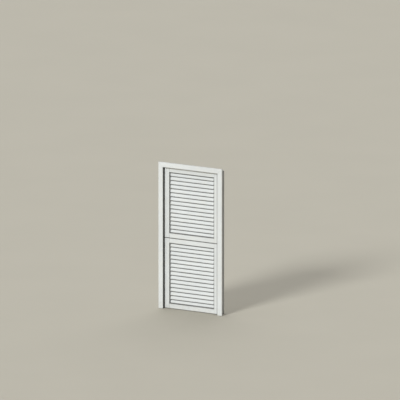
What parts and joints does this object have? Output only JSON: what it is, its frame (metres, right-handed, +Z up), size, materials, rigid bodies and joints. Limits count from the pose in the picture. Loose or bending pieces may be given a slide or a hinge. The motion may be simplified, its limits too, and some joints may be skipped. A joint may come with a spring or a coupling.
{
  "type": "louvred swinging doors",
  "caption": "Stacked pair of white louvred swing leaves on hidden sprung pivots, hung in a cased doorway frame; each leaf pushes open both ways and swings back shut.",
  "frame": {"origin": "on the floor, in the middle of the overall width and of the overall depth, casing included", "axes": "+X across the width towards the pivot jamb, -Y out of the front face, +Z up"},
  "size_m": [1.068, 0.1744, 2.211],
  "materials": {
    "white_paint": "satin white brushed paint on softwood",
    "grey_paint": "satin dark-grey brushed paint on softwood",
    "bright_steel": "brushed zinc-plated steel",
    "spring_steel": "oiled spring steel wire",
    "nylon": "natural nylon"
  },
  "bodies": {
    "frame": {"jamb_left": "grey_paint", "jamb_right": "grey_paint", "head_jamb": "grey_paint", "casing_left": "white_paint", "casing_right": "white_paint", "casing_head": "white_paint", "bottom_pivot_bracket": "bright_steel", "middle_pivot_bracket": "bright_steel", "top_pivot_plate": "bright_steel", "bottom_pivot_pin": "bright_steel", "middle_pivot_pin": "bright_steel", "top_pivot_pin": "bright_steel"},
    "upper_leaf": {"upper_pivot_stile": "white_paint", "upper_free_stile": "white_paint", "upper_top_rail": "white_paint", "upper_bottom_rail": "white_paint", "upper_slat_01": "white_paint", "upper_slat_02": "white_paint", "upper_slat_03": "white_paint", "upper_slat_04": "white_paint", "upper_slat_05": "white_paint", "upper_slat_06": "white_paint", "upper_slat_07": "white_paint", "upper_slat_08": "white_paint", "upper_slat_09": "white_paint", "upper_slat_10": "white_paint", "upper_slat_11": "white_paint", "upper_slat_12": "white_paint", "upper_slat_13": "white_paint", "upper_slat_14": "white_paint", "upper_slat_15": "white_paint", "upper_spring_housing": "bright_steel", "upper_return_spring": "spring_steel", "upper_top_bush": "nylon"},
    "lower_leaf": {"lower_pivot_stile": "white_paint", "lower_free_stile": "white_paint", "lower_top_rail": "white_paint", "lower_bottom_rail": "white_paint", "lower_slat_01": "white_paint", "lower_slat_02": "white_paint", "lower_slat_03": "white_paint", "lower_slat_04": "white_paint", "lower_slat_05": "white_paint", "lower_slat_06": "white_paint", "lower_slat_07": "white_paint", "lower_slat_08": "white_paint", "lower_slat_09": "white_paint", "lower_slat_10": "white_paint", "lower_slat_11": "white_paint", "lower_slat_12": "white_paint", "lower_slat_13": "white_paint", "lower_slat_14": "white_paint", "lower_slat_15": "white_paint", "lower_spring_housing": "bright_steel", "lower_return_spring": "spring_steel", "lower_top_bush": "nylon"}
  },
  "joints": [
    {"name": "upper_leaf_swing", "type": "hinge", "parent": "frame", "child": "upper_leaf", "pos_m": [0.4315, -0.01485, 1.071], "axis": [0, 0, 1], "range_deg": [-90, 90], "stiffness_Nm_per_rad": 8},
    {"name": "lower_leaf_swing", "type": "hinge", "parent": "frame", "child": "lower_leaf", "pos_m": [0.4315, -0.01485, 0.006], "axis": [0, 0, 1], "range_deg": [-90, 90], "stiffness_Nm_per_rad": 8}
  ]
}
